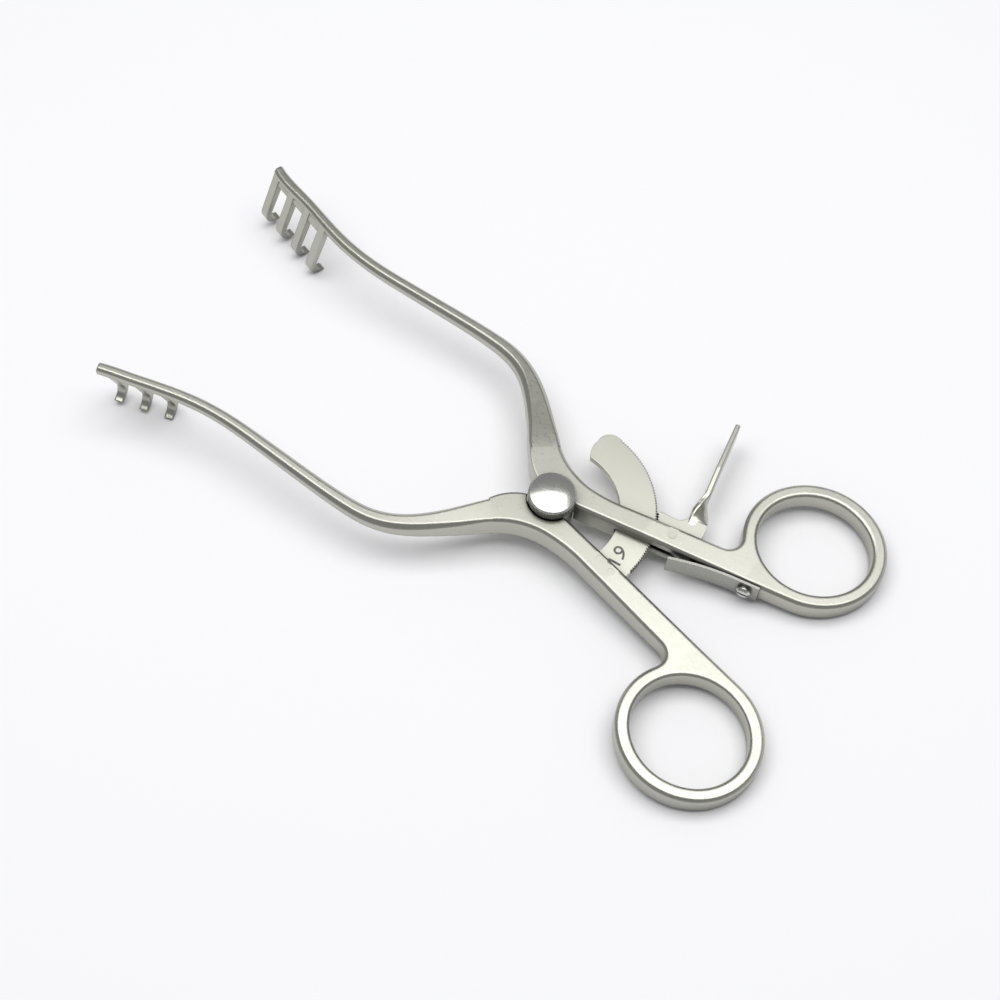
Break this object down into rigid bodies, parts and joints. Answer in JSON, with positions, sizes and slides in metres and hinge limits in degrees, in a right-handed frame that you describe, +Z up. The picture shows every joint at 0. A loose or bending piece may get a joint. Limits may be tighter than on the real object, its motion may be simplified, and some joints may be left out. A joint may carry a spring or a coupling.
{
  "type": "self retaining retractor",
  "caption": "Hinged self retaining retractor with finger rings, a ratchet bar with a thumb release lever, and arms that end in hooked prongs.",
  "frame": {"origin": "middle of the footprint, on the table that the instrument lies on", "axes": "+X from the finger rings to the prongs, +Y to the side of the three prong arm, +Z up; the instrument leans by 4.6 degrees, resting on its rings and prong bends"},
  "size_m": [0.173, 0.082, 0.0175],
  "materials": {
    "satin_steel": "satin",
    "screw_steel": "satin",
    "spring_steel": "satin"
  },
  "bodies": {
    "four_prong_arm": {"four_prong_arm": "satin_steel", "lever_pin": "satin_steel", "leaf_spring": "spring_steel", "spring_screw": "screw_steel"},
    "three_prong_arm": {"three_prong_arm": "satin_steel", "ratchet_bar": "satin_steel", "ratchet_rivets": "satin_steel"},
    "joint_screw": {"joint_screw": "screw_steel"},
    "release_lever": {"release_lever": "satin_steel"}
  },
  "joints": [
    {"name": "arm_pivot", "type": "hinge", "parent": "four_prong_arm", "child": "three_prong_arm", "pos_m": [-0.01812, -0.00012, 0.00803], "axis": [-0.0803, 0, 0.9968], "range_deg": [-30, 16]},
    {"name": "lever", "type": "hinge", "parent": "four_prong_arm", "child": "release_lever", "pos_m": [-0.04324, -0.00902, 0.00601], "axis": [-0.0803, 0, 0.9968], "range_deg": [-8, 0], "stiffness_Nm_per_rad": 0.3, "springref_deg": 8.59, "deforming": ["leaf_spring"]},
    {"name": "joint_screw_turn", "type": "hinge", "parent": "three_prong_arm", "child": "joint_screw", "pos_m": [-0.01812, -0.00012, 0.00803], "axis": [-0.0803, 0, 0.9968], "range_deg": [-180, 180]}
  ]
}
